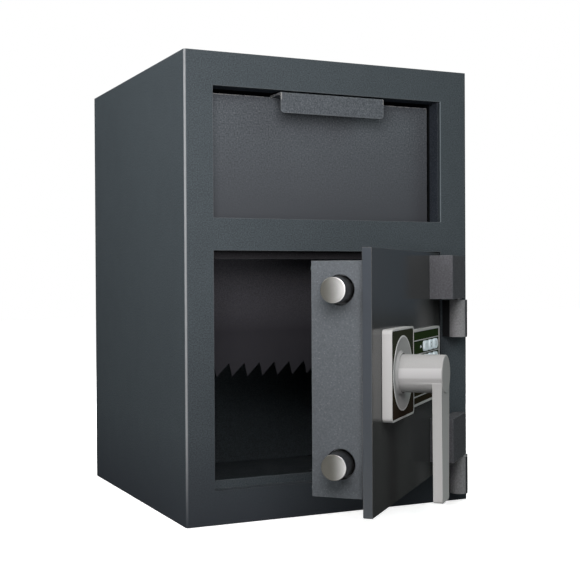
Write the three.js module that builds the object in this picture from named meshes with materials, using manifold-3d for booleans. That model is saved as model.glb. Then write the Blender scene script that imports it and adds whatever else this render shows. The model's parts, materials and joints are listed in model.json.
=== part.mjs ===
// A front-loading drop safe: a welded steel cabinet with a tilting deposit hopper above
// and a hinged, bolted door below. Millimetres, +Z up, the front faces -Y and the origin
// is the centre of the underside.
import * as THREE from 'three';
import { mergeVertices } from 'three/addons/utils/BufferGeometryUtils.js';
import Module from 'manifold-3d';

const wasm = await Module();
wasm.setup();

// Cabinet shell
const bodyWidth = 355.6;
const bodyDepth = 355.6;
const bodyHeight = 508;
const wallThickness = 4.8;
const bendRadius = 3;
const leftStileWidth = 32.5;
const rightStileWidth = 36.8;
const topRailHeight = 36.4;
const middleRailHeight = 35;
const bottomRailHeight = 36.9;
const doorOpeningHeight = 258.1;

// Clearances: welded plates, seated pieces, and one overrun for every cut
const weldGap = 0.1;
const seatGap = 0.3;
const cutOverrun = 5;

// Anchor holes in the floor plate
const anchorHoleRadius = 6.5;
const anchorHoleSpacing = 180;
const anchorHoleFromBack = 120;

// Door stop angles above and below the door
const stopThickness = 3;
const stopOverlap = 9;
const stopDepth = 12.5;
const stopEndRun = 12;
const jambWidth = 20;
const jambClearance = 0.8;

// Deposit hopper: fixed guards, hood and chute
const guardThickness = 3;
const guardDepth = 141;
const hoodThickness = 2.5;
const hoodBeforeTip = 9;
const hoodDropShare = 0.661;
const hoodBendRadius = 4;
const chuteThickness = 2.5;
const chuteFrontBelowOpening = 21;
const chuteRearBelowOpening = 28;
const baffleDepth = 140;
const baffleBottomHeight = 145.6;
const chuteBendRadius = 5;
const toothPitch = 20.2;
const toothHeight = 16.4;
const toothFlankShare = 0.8;
const toothStartInset = 4;

// Deposit hopper: the tilting bucket
const panelThickness = 3;
const panelDepth = 26;
const panelSideGap = 1.6;
const panelTopGap = 3.8;
const panelBelowPivot = 6;
const pivotDepth = 38;
const pivotBelowOpening = 8;
const pivotRadius = 5;
const pivotClearance = 0.35;
const pivotEndRun = 7;
const pivotHeadRadius = 9;
const pivotHeadThickness = 3;
const clipThickness = 2;
const bucketSheet = 2;
const bucketFrontAbovePivot = 14;
const bucketReachShare = 0.6921;
const bucketRearBelowPivot = 5;
const cheekInset = 0.5;
const cheekTopMargin = 6;
const cheekBelowPivot = 8.5;
const cheekRearRise = 6;
const cheekSag = 14;
const hopperStopRadius = 4;
const hopperStopReachShare = 0.6356;
const hopperOpenAngle = 45;
const hopperStopMargin = 11;
const hopperStopLength = 6;

// Pull handle on the hopper panel
const pullWidth = 129;
const pullDrop = 22.8;
const pullSheet = 2.5;
const pullProud = 4;
const pullAbovePanelTop = 1.3;
const pullCornerRadius = 3.5;
const pullBendRadius = 2;

// Hinges: feet on the cabinet front, pins, and blocks on the door
const openAngle = 44.4;
const hingeFromOpening = 12.2;
const hingeForward = 19.5;
const barrelRadius = 9.8;
const footHeight = 43;
const footPlate = 11;
const footRightReach = 17.8;
const hingeGap = 2.2;
const pinRadius = 4;
const pinClearance = 0.35;
const pinBelowFootTop = 38;
const pinBelowBlockTop = 6;
const blockLength = 65;
const blockHeight = 48.8;
const knuckleRadius = 7.1;
const knuckleReach = 17.5;
const upperBlockBelowDoorTop = 3.7;
const lowerBlockAboveDoorBottom = 17.2;
const blockChamfer = 1;

// Door plate
const doorThickness = 9.5;
const doorFreeGap = 2.8;
const doorHingeGap = 2.4;
const doorTopGap = 1.9;
const doorBottomGap = 4;

// Bolt-work box behind the door
const boxSheet = 2;
const boxDepth = 63;
const boxFreeInset = 11;
const boxHingeInset = 24.3;
const boxTopInset = 12.1;
const boxBottomInset = 15.4;
const boxPost = 11;
const screwShankRadius = 2;
const screwClearance = 0.35;
const screwShankLength = 12;
const screwHeadRadius = 4.2;
const screwHeadHeight = 2.2;

// Locking bolts, their guides and the carriage that joins them
const boltRadius = 12.5;
const boltHoleRadius = 14;
const boltDepth = 34.4;
const boltProud = 22;
const boltBevel = 0.6;
const boltTravel = 20;
const upperBoltBelowDoorTop = 39.7;
const lowerBoltAboveDoorBottom = 47.7;
const guideLength = 22;
const guideFromBoxSide = 12;
const guideWall = 7;
const guideClearance = 0.4;
const carriageThickness = 6;
const carriageWidth = 40;
const carriageBehindHandle = 1;
const carriageEndRun = 12.5;
const tailHeight = 24;
const tailAboveLock = 5;
const tailPastLatch = 10;
const slotClearance = 0.75;
const slotEndRun = 2;

// Handle: lever, spindle and cam
const handleFromFreeEdge = 76;
const handleHeightShare = 0.5143;
const hubRadius = 18.8;
const hubEndProud = 52.8;
const hubBaseProud = 9.6;
const leverThickness = 10;
const leverLength = 124;
const leverTopHalfWidth = 17.4;
const leverBottomHalfWidth = 14.6;
const leverCornerRadius = 2.5;
const hubBevel = 0.8;
const leverSetBack = 0.8;
const handleTurn = 90;
const spindleRadius = 6;
const spindleClearance = 0.35;
const spindleIntoHub = 12;
const camRadius = 21;
const camThickness = 4;
const camDepth = 22;
const camPinRadius = 3.5;
const camPinLength = 12.5;
const camClipThickness = 2;
const camClipRadius = 10;

// Escutcheon round the handle
const escutcheonWidth = 86;
const escutcheonHeight = 89;
const escutcheonThickness = 10;
const escutcheonBorder = 1.8;
const escutcheonInlay = 1.5;
const escutcheonCornerRadius = 5;
const roseRadius = 37.1;
const roseRim = 1.3;
const roseSink = 4.2;
const roseDish = 2.8;
const roseCollar = 2.4;
const roseCollarTop = 1;
const hubClearance = 0.8;

// Keypad
const keypadFromHinge = 40.4;
const keypadGap = 4.3;
const keypadHeight = 80;
const keypadThickness = 6;
const keypadFrame = 0.9;
const keypadBorder = 2.2;
const keypadDivider = 0.9;
const keypadCornerRadius = 3;
const keypadBelowHandle = 0.7;
const headerHeight = 11.5;
const keyRowHeight = 14.7;
const keyWidthShare = 0.144;
const keyHeight = 11;
const keyProud = 2.2;
const keyTravel = 1.5;
const keyClearance = 0.35;
const keyGapShare = 0.023;
const keyCornerRadius = 4.2;
const keyBevel = 0.8;
const keyFirstInsetShare = 0.1045;
const keyRows = 4;
const keyColumns = 3;
const ledRadius = 1.6;
const ledHeight = 1;
const ledFromKeysShare = 0.0763;

// Combination lock behind the keypad, with its latch
const lockWidth = 61;
const lockHeight = 83;
const lockThickness = 32;
const lockFromCarriage = 5;
const lockBelowHandle = 0.1;
const latchWidth = 25;
const latchThickness = 9;
const latchLength = 30;
const latchProud = 3.5;
const latchTravel = 8;
const latchClearance = 0.4;

// Facets on round shapes
const roundSegments = 48;
const smallSegments = 20;
const cornerSegments = 5;
const pocketSegments = 4;

// Places worked out from the sizes above
const degree = Math.PI / 180;
const frontY = -bodyDepth / 2;
const backY = bodyDepth / 2;
const halfWidth = bodyWidth / 2;
const openingLeft = -halfWidth + leftStileWidth;
const openingRight = halfWidth - rightStileWidth;
const openingMiddle = (openingLeft + openingRight) / 2;
const doorOpeningBottom = bottomRailHeight;
const doorOpeningTop = doorOpeningBottom + doorOpeningHeight;
const hopperOpeningBottom = doorOpeningTop + middleRailHeight;
const hopperOpeningTop = bodyHeight - topRailHeight;
const innerFrontY = frontY + wallThickness;
const pivotY = frontY + pivotDepth;
const pivotZ = hopperOpeningBottom - pivotBelowOpening;
const hopperOpeningHeight = hopperOpeningTop - hopperOpeningBottom;
const bucketReach = hopperOpeningHeight * bucketReachShare;
const hopperStopReach = hopperOpeningHeight * hopperStopReachShare;
const hoodDrop = hopperOpeningHeight * hoodDropShare;
const hoodDepth = pivotDepth + bucketReach - hoodBeforeTip;
const panelLeft = openingLeft + panelSideGap;
const panelRight = openingRight - panelSideGap;
const panelTop = hopperOpeningTop - panelTopGap;
const panelBackY = frontY + panelDepth + panelThickness;
const hingeX = openingRight + hingeFromOpening;
const hingeY = frontY - hingeForward;
const doorBottom = doorOpeningBottom + doorBottomGap;
const doorTop = doorOpeningTop - doorTopGap;
const doorFreeX = openingLeft + doorFreeGap - hingeX;
const doorHingeX = openingRight - doorHingeGap - hingeX;
const upperBlockTop = doorTop - upperBlockBelowDoorTop;
const upperBlockBottom = upperBlockTop - blockHeight;
const lowerBlockBottom = doorBottom + lowerBlockAboveDoorBottom;
const lowerBlockTop = lowerBlockBottom + blockHeight;
const handleX = doorFreeX + handleFromFreeEdge;
const handleZ = doorBottom + (doorTop - doorBottom) * handleHeightShare;
const upperBoltZ = doorTop - upperBoltBelowDoorTop;
const lowerBoltZ = doorBottom + lowerBoltAboveDoorBottom;
const boxFreeX = doorFreeX + boxFreeInset;
const boxHingeX = doorHingeX - boxHingeInset;
const boxTopZ = doorTop - boxTopInset;
const boxBottomZ = doorBottom + boxBottomInset;
const coverFrontDepth = boxDepth - boxSheet;
const carriageFreeX = handleX - carriageWidth / 2 - carriageBehindHandle;
const carriageFrontDepth = boltDepth - carriageThickness / 2;
const lockLeftX = carriageFreeX + carriageWidth + boltTravel + lockFromCarriage;
const lockRightX = lockLeftX + lockWidth;
const lockMiddleX = (lockLeftX + lockRightX) / 2;
const lockBottomZ = handleZ - lockBelowHandle - lockHeight / 2;
const lockTopZ = lockBottomZ + lockHeight;
const camPinReach = boltTravel / 2 / Math.sin(handleTurn / 2 * degree);
const keypadRightX = -keypadFromHinge;
const keypadLeftX = handleX + escutcheonWidth / 2 + keypadGap;
const keypadWidth = keypadRightX - keypadLeftX;
const keyWidth = keypadWidth * keyWidthShare;
const keyGap = keypadWidth * keyGapShare;
const keyFirstInset = keypadWidth * keyFirstInsetShare;
const ledFromKeys = keypadWidth * ledFromKeysShare;
const keypadTopZ = handleZ - keypadBelowHandle + keypadHeight / 2;
const keypadBottomZ = keypadTopZ - keypadHeight;

// Finishes
function finish(color, roughness, metalness) {
  return new THREE.MeshStandardMaterial({ color, roughness, metalness });
}

const bodyPaint = finish(0x434a4d, 0.55, 0.2);
const doorPaint = finish(0x2d3234, 0.5, 0.2);
const hammerPaint = finish(0x5a5f62, 0.6, 0.2);
const innerPaint = finish(0x35363a, 0.7, 0.1);
const brightSteel = finish(0xb4b2ac, 0.3, 1);
const zincSteel = finish(0x9a9da0, 0.4, 0.9);
const satinCasting = finish(0xb9b9b7, 0.4, 0.3);
const bezelPlastic = finish(0xa6a7a5, 0.45, 0.1);
const darkFace = finish(0x1d211b, 0.35, 0);
const keyPlastic = finish(0xdfe8ec, 0.3, 0);
const ledPlastic = finish(0xe8f0f4, 0.2, 0);
const lockCasting = finish(0x8d9092, 0.5, 0.7);

// Solids: geometry goes in, is joined or cut, and comes back as one closed body
function solid(geometry) {
  const bare = geometry.index ? geometry.toNonIndexed() : geometry.clone();
  bare.deleteAttribute('normal');
  bare.deleteAttribute('uv');
  const merged = mergeVertices(bare, weldGap / 1000);
  const mesh = new wasm.Mesh({
    numProp: 3,
    vertProperties: new Float32Array(merged.attributes.position.array),
    triVerts: new Uint32Array(merged.index.array),
  });
  return new wasm.Manifold(mesh);
}

function geometryOf(manifold) {
  const mesh = manifold.getMesh();
  const geometry = new THREE.BufferGeometry();
  geometry.setAttribute('position', new THREE.BufferAttribute(mesh.vertProperties, 3));
  geometry.setIndex(new THREE.BufferAttribute(mesh.triVerts, 1));
  return geometry;
}

function cut(body, ...tools) {
  return tools.reduce((rest, tool) => rest.subtract(tool), body);
}

function join(body, ...others) {
  return others.reduce((whole, other) => whole.add(other), body);
}

function block(x0, x1, y0, y1, z0, z1) {
  const geometry = new THREE.BoxGeometry(x1 - x0, y1 - y0, z1 - z0);
  geometry.translate((x0 + x1) / 2, (y0 + y1) / 2, (z0 + z1) / 2);
  return solid(geometry);
}

// An outline drawn across one axis and drawn out along it, from start to end.
// Across x the outline holds (y, z), across y it holds (x, z), across z it holds (x, y).
const outlineFrames = {
  x: [new THREE.Vector3(0, 1, 0), new THREE.Vector3(0, 0, 1), new THREE.Vector3(1, 0, 0)],
  y: [new THREE.Vector3(1, 0, 0), new THREE.Vector3(0, 0, 1), new THREE.Vector3(0, -1, 0)],
  z: [new THREE.Vector3(1, 0, 0), new THREE.Vector3(0, 1, 0), new THREE.Vector3(0, 0, 1)],
};

function drawnOut(shape, axis, start, end, curveSegments = cornerSegments) {
  const depth = end - start;
  const geometry = new THREE.ExtrudeGeometry(shape, { depth, bevelEnabled: false, curveSegments });
  geometry.applyMatrix4(new THREE.Matrix4().makeBasis(...outlineFrames[axis]));
  const shift = { x: [start, 0, 0], y: [0, end, 0], z: [0, 0, start] }[axis];
  geometry.translate(...shift);
  return solid(geometry);
}

// A solid turned about an axis: the profile holds (radius, place along the axis).
function turned(profile, axis, a, b, segments = roundSegments) {
  const points = profile.map(([radius, along]) => new THREE.Vector2(radius, along));
  const geometry = new THREE.LatheGeometry(points, segments);
  const quarter = Math.PI / 2;
  if (axis === 'x') {
    geometry.rotateZ(-quarter);
    geometry.translate(0, a, b);
  }
  if (axis === 'y') {
    geometry.translate(a, 0, b);
    geometry.applyMatrix4(new THREE.Matrix4().makeBasis(
      new THREE.Vector3(1, 0, 0), new THREE.Vector3(0, 1, 0), new THREE.Vector3(0, 0, 1)));
  }
  if (axis === 'z') {
    geometry.rotateX(quarter);
    geometry.translate(a, b, 0);
  }
  return solid(geometry);
}

function rod(radius, axis, start, end, a, b, segments = roundSegments) {
  return turned([[0, start], [radius, start], [radius, end], [0, end]], axis, a, b, segments);
}

function roundedRectangle(x0, x1, z0, z1, radius) {
  const shape = new THREE.Shape();
  shape.moveTo(x0 + radius, z0);
  shape.lineTo(x1 - radius, z0);
  shape.absarc(x1 - radius, z0 + radius, radius, -Math.PI / 2, 0);
  shape.lineTo(x1, z1 - radius);
  shape.absarc(x1 - radius, z1 - radius, radius, 0, Math.PI / 2);
  shape.lineTo(x0 + radius, z1);
  shape.absarc(x0 + radius, z1 - radius, radius, Math.PI / 2, Math.PI);
  shape.lineTo(x0, z0 + radius);
  shape.absarc(x0 + radius, z0 + radius, radius, Math.PI, Math.PI * 3 / 2);
  return shape;
}

function polygon(points) {
  return new THREE.Shape(points.map(([a, b]) => new THREE.Vector2(a, b)));
}

const safe = new THREE.Group();
const door = new THREE.Group();
door.position.set(hingeX, hingeY, 0);
door.rotation.z = openAngle * degree;
safe.add(door);

function place(group, name, body, material) {
  const mesh = new THREE.Mesh(geometryOf(body), material);
  mesh.name = name;
  group.add(mesh);
}

// Depths behind the door's front face, in the door's own turned frame
function behindFace(depth) {
  return hingeForward + depth;
}

// Cabinet: one bent sheet makes the front and both sides, and three plates close it
function bodyWrap() {
  const outline = new THREE.Shape();
  outline.moveTo(-halfWidth, backY);
  outline.lineTo(-halfWidth, frontY + bendRadius);
  outline.absarc(-halfWidth + bendRadius, frontY + bendRadius, bendRadius, Math.PI, Math.PI * 3 / 2);
  outline.lineTo(halfWidth - bendRadius, frontY);
  outline.absarc(halfWidth - bendRadius, frontY + bendRadius, bendRadius, -Math.PI / 2, 0);
  outline.lineTo(halfWidth, backY);
  outline.lineTo(halfWidth - wallThickness, backY);
  outline.lineTo(halfWidth - wallThickness, innerFrontY);
  outline.lineTo(-halfWidth + wallThickness, innerFrontY);
  outline.lineTo(-halfWidth + wallThickness, backY);
  const sheet = drawnOut(outline, 'z', 0, bodyHeight);
  const from = frontY - cutOverrun;
  const to = innerFrontY + cutOverrun;
  const hopperHole = block(openingLeft, openingRight, from, to, hopperOpeningBottom, hopperOpeningTop);
  const doorHole = block(openingLeft, openingRight, from, to, doorOpeningBottom, doorOpeningTop);
  return cut(sheet, hopperHole, doorHole);
}

function levelPlate(z0) {
  const edgeX = halfWidth - wallThickness - weldGap;
  const rear = backY - wallThickness - weldGap;
  return block(-edgeX, edgeX, innerFrontY + weldGap, rear, z0, z0 + wallThickness);
}

function bottomPlate() {
  const holes = [-1, 1].map((side) => rod(
    anchorHoleRadius, 'z', -cutOverrun, wallThickness + cutOverrun,
    side * anchorHoleSpacing / 2, backY - anchorHoleFromBack, smallSegments));
  return cut(levelPlate(0), ...holes);
}

function backPlate() {
  const edgeX = halfWidth - wallThickness - weldGap;
  return block(-edgeX, edgeX, backY - wallThickness, backY, 0, bodyHeight);
}

place(safe, 'body_wrap', bodyWrap(), bodyPaint);
place(safe, 'top_plate', levelPlate(bodyHeight - wallThickness), bodyPaint);
place(safe, 'bottom_plate', bottomPlate(), bodyPaint);
place(safe, 'back_plate', backPlate(), bodyPaint);

// Door stops: steel angles behind the opening's upper and lower edges, and one behind
// the left stile that the bolts bear on
function doorStop(edgeZ, outward) {
  const near = innerFrontY + weldGap;
  const front = frontY + stopDepth;
  const rear = front + stopThickness;
  const outer = edgeZ + outward * stopThickness;
  const lip = edgeZ - outward * stopOverlap;
  const points = [[near, edgeZ], [front, edgeZ], [front, lip], [rear, lip], [rear, outer], [near, outer]];
  const outline = outward > 0 ? points : points.reverse();
  return drawnOut(polygon(outline), 'x', openingLeft - stopEndRun, openingRight + stopEndRun);
}

function boltJamb() {
  const near = innerFrontY + weldGap;
  const rear = frontY + boltDepth - boltRadius - jambClearance;
  const edge = openingLeft - seatGap;
  const outline = polygon([
    [edge, near],
    [edge, rear],
    [edge - stopThickness, rear],
    [edge - stopThickness, near + stopThickness],
    [edge - jambWidth, near + stopThickness],
    [edge - jambWidth, near],
  ]);
  const endInset = stopOverlap + seatGap;
  return drawnOut(outline, 'z', doorOpeningBottom + endInset, doorOpeningTop - endInset);
}

place(safe, 'bolt_jamb', boltJamb(), bodyPaint);
place(safe, 'door_stop_top', doorStop(doorOpeningTop, 1), bodyPaint);
place(safe, 'door_stop_bottom', doorStop(doorOpeningBottom, -1), bodyPaint);

// Chute floor and anti-fishing baffle: one bent sheet with a saw-toothed lower edge
function chuteTopAt(y) {
  const share = (y - frontY) / baffleDepth;
  const drop = chuteFrontBelowOpening + (chuteRearBelowOpening - chuteFrontBelowOpening) * share;
  return hopperOpeningBottom - drop;
}

function chuteBaffle() {
  const near = innerFrontY + seatGap;
  const face = frontY + baffleDepth;
  const rear = face + chuteThickness;
  const rearTop = chuteTopAt(rear);
  const outline = new THREE.Shape();
  outline.moveTo(near, chuteTopAt(near) - chuteThickness);
  outline.lineTo(face, chuteTopAt(face) - chuteThickness);
  outline.lineTo(face, baffleBottomHeight);
  outline.lineTo(rear, baffleBottomHeight);
  outline.lineTo(rear, rearTop - chuteBendRadius);
  outline.quadraticCurveTo(rear, rearTop, rear - chuteBendRadius, chuteTopAt(rear - chuteBendRadius));
  outline.lineTo(near, chuteTopAt(near));
  const edgeX = halfWidth - wallThickness - seatGap;
  const sheet = drawnOut(outline, 'x', -edgeX, edgeX);
  const notches = [[edgeX + cutOverrun, baffleBottomHeight - cutOverrun]];
  notches.push([-edgeX - cutOverrun, baffleBottomHeight - cutOverrun]);
  notches.push([-edgeX - cutOverrun, baffleBottomHeight]);
  notches.push([-edgeX + toothStartInset, baffleBottomHeight]);
  for (let tip = -edgeX + toothStartInset; tip + toothPitch < edgeX; tip += toothPitch) {
    notches.push([tip + toothPitch * toothFlankShare, baffleBottomHeight + toothHeight]);
    notches.push([tip + toothPitch, baffleBottomHeight]);
  }
  notches.push([edgeX + cutOverrun, baffleBottomHeight]);
  const saw = drawnOut(polygon(notches.reverse()), 'y', face - cutOverrun, rear + cutOverrun);
  return cut(sheet, saw);
}

place(safe, 'chute_baffle', chuteBaffle(), innerPaint);

// Hopper guards: side plates that carry the pivot rod and a stop stud each
function hopperGuard(x0, inward) {
  const near = innerFrontY + seatGap;
  const rear = frontY + guardDepth;
  const top = hopperOpeningTop + hoodThickness;
  const outline = [
    [near, chuteTopAt(near) + seatGap],
    [rear, chuteTopAt(rear) + seatGap],
    [rear, top],
    [near, top],
  ];
  const plate = drawnOut(polygon(outline), 'x', x0, x0 + guardThickness);
  const face = inward > 0 ? x0 + guardThickness : x0;
  const stopTip = face + inward * hopperStopLength;
  const stopAngle = (hopperOpenAngle + hopperStopMargin) * degree;
  const stopY = pivotY + hopperStopReach * Math.cos(stopAngle);
  const stopZ = pivotZ + hopperStopReach * Math.sin(stopAngle);
  const root = face - inward * guardThickness / 2;
  const stud = rod(hopperStopRadius, 'x', Math.min(root, stopTip), Math.max(root, stopTip),
    stopY, stopZ, smallSegments);
  const hole = rod(pivotRadius + pivotClearance, 'x', x0 - cutOverrun,
    x0 + guardThickness + cutOverrun, pivotY, pivotZ, smallSegments);
  return cut(join(plate, stud), hole);
}

place(safe, 'hopper_guard_left', hopperGuard(openingLeft - guardThickness, 1), bodyPaint);
place(safe, 'hopper_guard_right', hopperGuard(openingRight, -1), bodyPaint);

// Hood: bent sheet over the bucket, turned down behind it so nothing can be fished out
function hopperHood() {
  const near = innerFrontY + seatGap;
  const rear = frontY + hoodDepth;
  const under = hopperOpeningTop;
  const top = under + hoodThickness;
  const outline = new THREE.Shape();
  outline.moveTo(near, under);
  outline.lineTo(rear - hoodThickness, under);
  outline.lineTo(rear - hoodThickness, under - hoodDrop);
  outline.lineTo(rear, under - hoodDrop);
  outline.lineTo(rear, top - hoodBendRadius);
  outline.quadraticCurveTo(rear, top, rear - hoodBendRadius, top);
  outline.lineTo(near, top);
  return drawnOut(outline, 'x', openingLeft + seatGap, openingRight - seatGap);
}

place(safe, 'hopper_hood', hopperHood(), bodyPaint);

// Pivot rod with a head at the left and a clip at the right
function pivotRod() {
  const left = openingLeft - guardThickness - seatGap;
  const right = openingRight + guardThickness + pivotEndRun;
  return turned([
    [0, left - pivotHeadThickness],
    [pivotHeadRadius, left - pivotHeadThickness],
    [pivotHeadRadius, left],
    [pivotRadius, left],
    [pivotRadius, right],
    [0, right],
  ], 'x', pivotY, pivotZ, smallSegments);
}

function pivotClip() {
  const start = openingRight + guardThickness + seatGap;
  const ring = rod(pivotHeadRadius, 'x', start, start + clipThickness, pivotY, pivotZ, smallSegments);
  const bore = rod(pivotRadius + pivotClearance, 'x', start - cutOverrun,
    start + clipThickness + cutOverrun, pivotY, pivotZ, smallSegments);
  return cut(ring, bore);
}

place(safe, 'hopper_pivot_rod', pivotRod(), zincSteel);
place(safe, 'hopper_pivot_clip', pivotClip(), zincSteel);

// Hopper bucket: front panel, cheeks and a sloping back whose flange rests on the chute
function hopperPanel() {
  return block(panelLeft, panelRight, frontY + panelDepth, panelBackY, pivotZ - panelBelowPivot, panelTop);
}

function bucketCheek(x0) {
  const near = panelBackY + seatGap;
  const tipY = pivotY + bucketReach;
  const tipZ = pivotZ - bucketRearBelowPivot;
  const low = pivotZ - cheekBelowPivot;
  const high = panelTop - cheekTopMargin;
  const outline = new THREE.Shape();
  outline.moveTo(near, low);
  outline.lineTo(tipY, tipZ - bucketSheet - seatGap);
  outline.lineTo(tipY, tipZ + cheekRearRise);
  const middleY = (near + tipY) / 2 - cheekSag;
  const middleZ = (tipZ + cheekRearRise + high) / 2 - cheekSag;
  outline.quadraticCurveTo(middleY, middleZ, near, high);
  const plate = drawnOut(outline, 'x', x0, x0 + bucketSheet, smallSegments / 2);
  const hole = rod(pivotRadius + pivotClearance, 'x', x0 - cutOverrun,
    x0 + bucketSheet + cutOverrun, pivotY, pivotZ, smallSegments);
  return cut(plate, hole);
}

function bucketBack() {
  const near = panelBackY + seatGap;
  const frontZ = pivotZ + bucketFrontAbovePivot;
  const tipY = pivotY + bucketReach;
  const tipZ = pivotZ - bucketRearBelowPivot;
  const rest = chuteTopAt(tipY - bucketSheet) + seatGap;
  const outline = polygon([
    [near, frontZ],
    [near, frontZ - bucketSheet],
    [tipY - bucketSheet, tipZ - bucketSheet],
    [tipY - bucketSheet, rest],
    [tipY, rest],
    [tipY, tipZ],
  ]);
  const inset = cheekInset + bucketSheet + seatGap;
  return drawnOut(outline, 'x', panelLeft + inset, panelRight - inset);
}

function pullHandle() {
  const left = openingMiddle - pullWidth / 2;
  const right = openingMiddle + pullWidth / 2;
  const top = panelTop + pullAbovePanelTop;
  const front = frontY - pullProud;
  const profile = new THREE.Shape();
  profile.moveTo(front, top - pullDrop);
  profile.lineTo(front + pullSheet, top - pullDrop);
  profile.lineTo(front + pullSheet, top - pullSheet);
  profile.lineTo(frontY + panelDepth - seatGap, top - pullSheet);
  profile.lineTo(frontY + panelDepth - seatGap, top);
  profile.lineTo(front + pullBendRadius, top);
  profile.absarc(front + pullBendRadius, top - pullBendRadius, pullBendRadius, Math.PI / 2, Math.PI);
  const bent = drawnOut(profile, 'x', left, right);
  const tall = top + pullCornerRadius + cutOverrun;
  const trim = roundedRectangle(left, right, top - pullDrop, tall, pullCornerRadius);
  return bent.intersect(drawnOut(trim, 'y', front - cutOverrun, frontY + panelDepth));
}

place(safe, 'hopper_panel', hopperPanel(), hammerPaint);
place(safe, 'bucket_cheek_left', bucketCheek(panelLeft + cheekInset), hammerPaint);
place(safe, 'bucket_cheek_right', bucketCheek(panelRight - cheekInset - bucketSheet), hammerPaint);
place(safe, 'bucket_back', bucketBack(), hammerPaint);
place(safe, 'pull_handle', pullHandle(), hammerPaint);

// Hinge feet: a barrel on a plate, welded to the cabinet's front at its right edge
function hingeFoot(topZ) {
  const left = hingeX - barrelRadius;
  const right = hingeX + footRightReach;
  const outline = new THREE.Shape();
  outline.moveTo(left, frontY - weldGap);
  outline.lineTo(left, hingeY);
  outline.absarc(hingeX, hingeY, barrelRadius, Math.PI, Math.PI * 2);
  outline.lineTo(right, frontY - footPlate);
  outline.lineTo(right, frontY - weldGap);
  const body = drawnOut(outline, 'z', topZ - footHeight, topZ, smallSegments);
  const bore = rod(pinRadius + pinClearance, 'z', topZ - pinBelowFootTop - seatGap, topZ + cutOverrun,
    hingeX, hingeY, smallSegments);
  return cut(body, bore);
}

function hingePin(footTop, blockTop) {
  return rod(pinRadius, 'z', footTop - pinBelowFootTop, blockTop - pinBelowBlockTop,
    hingeX, hingeY, smallSegments);
}

place(safe, 'hinge_foot_upper', hingeFoot(upperBlockBottom - hingeGap), hammerPaint);
place(safe, 'hinge_foot_lower', hingeFoot(lowerBlockBottom - hingeGap), hammerPaint);
place(safe, 'hinge_pin_upper', hingePin(upperBlockBottom - hingeGap, upperBlockTop), brightSteel);
place(safe, 'hinge_pin_lower', hingePin(lowerBlockBottom - hingeGap, lowerBlockTop), brightSteel);

// Door plate
function doorPlate() {
  const plate = block(doorFreeX, doorHingeX, behindFace(0), behindFace(doorThickness), doorBottom, doorTop);
  const hole = rod(spindleRadius + spindleClearance, 'y', behindFace(-cutOverrun),
    behindFace(doorThickness + cutOverrun), handleX, handleZ, smallSegments);
  return cut(plate, hole);
}

place(door, 'door_plate', doorPlate(), doorPaint);

// Hinge blocks on the door: a square block with a knuckle that reaches the pin
function hingeBlock(bottomZ, topZ) {
  const outline = new THREE.Shape();
  outline.moveTo(-blockLength, behindFace(-seatGap));
  outline.lineTo(-blockLength, -knuckleRadius + blockChamfer);
  outline.lineTo(-blockLength + blockChamfer, -knuckleRadius);
  outline.lineTo(0, -knuckleRadius);
  outline.absarc(0, 0, knuckleRadius, -Math.PI / 2, Math.PI / 2);
  outline.lineTo(-knuckleReach, knuckleRadius);
  outline.lineTo(-knuckleReach, behindFace(-seatGap));
  const body = drawnOut(outline, 'z', bottomZ, topZ, smallSegments / 2);
  const bore = rod(pinRadius + pinClearance, 'z', bottomZ - cutOverrun, topZ + cutOverrun,
    0, 0, smallSegments);
  return cut(body, bore);
}

place(door, 'hinge_block_upper', hingeBlock(upperBlockBottom, upperBlockTop), hammerPaint);
place(door, 'hinge_block_lower', hingeBlock(lowerBlockBottom, lowerBlockTop), hammerPaint);

// Bolt-work box: four walls with a post in each corner, and a cover let in behind
function boxCorners(inset) {
  const sides = [boxFreeX + inset, boxHingeX - inset];
  const levels = [boxBottomZ + inset, boxTopZ - inset];
  return sides.flatMap((x) => levels.map((z) => [x, z]));
}

function boltBox() {
  const near = behindFace(doorThickness + seatGap);
  const far = behindFace(boxDepth);
  const outer = block(boxFreeX, boxHingeX, near, far, boxBottomZ, boxTopZ);
  const inner = block(boxFreeX + boxSheet, boxHingeX - boxSheet, near - cutOverrun, far + cutOverrun,
    boxBottomZ + boxSheet, boxTopZ - boxSheet);
  const postBack = behindFace(coverFrontDepth - seatGap);
  const half = boxPost / 2;
  const posts = boxCorners(boxSheet + half - weldGap).map(([x, z]) => block(
    x - half, x + half, near, postBack, z - half, z + half));
  const pilots = boxCorners(boxSheet + half).map(([x, z]) => rod(
    screwShankRadius + screwClearance, 'y', postBack - screwShankLength, postBack + cutOverrun,
    x, z, smallSegments / 2));
  const holes = [upperBoltZ, lowerBoltZ].map((z) => rod(
    boltHoleRadius, 'x', boxFreeX - cutOverrun, boxFreeX + cutOverrun, behindFace(boltDepth), z));
  return cut(join(cut(outer, inner), ...posts), ...pilots, ...holes);
}

function boxCover() {
  const inset = boxSheet + seatGap;
  const plate = block(boxFreeX + inset, boxHingeX - inset, behindFace(coverFrontDepth), behindFace(boxDepth),
    boxBottomZ + inset, boxTopZ - inset);
  const holes = boxCorners(boxSheet + boxPost / 2).map(([x, z]) => rod(
    screwShankRadius + screwClearance, 'y', behindFace(coverFrontDepth - cutOverrun),
    behindFace(boxDepth + cutOverrun), x, z, smallSegments / 2));
  return cut(plate, ...holes);
}

function coverScrew(x, z) {
  const seat = behindFace(boxDepth + seatGap);
  return turned([
    [0, seat - screwShankLength],
    [screwShankRadius, seat - screwShankLength],
    [screwShankRadius, seat],
    [screwHeadRadius, seat],
    [screwHeadRadius, seat + screwHeadHeight / 2],
    [screwHeadRadius / 2, seat + screwHeadHeight],
    [0, seat + screwHeadHeight],
  ], 'y', x, z, smallSegments / 2);
}

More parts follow.
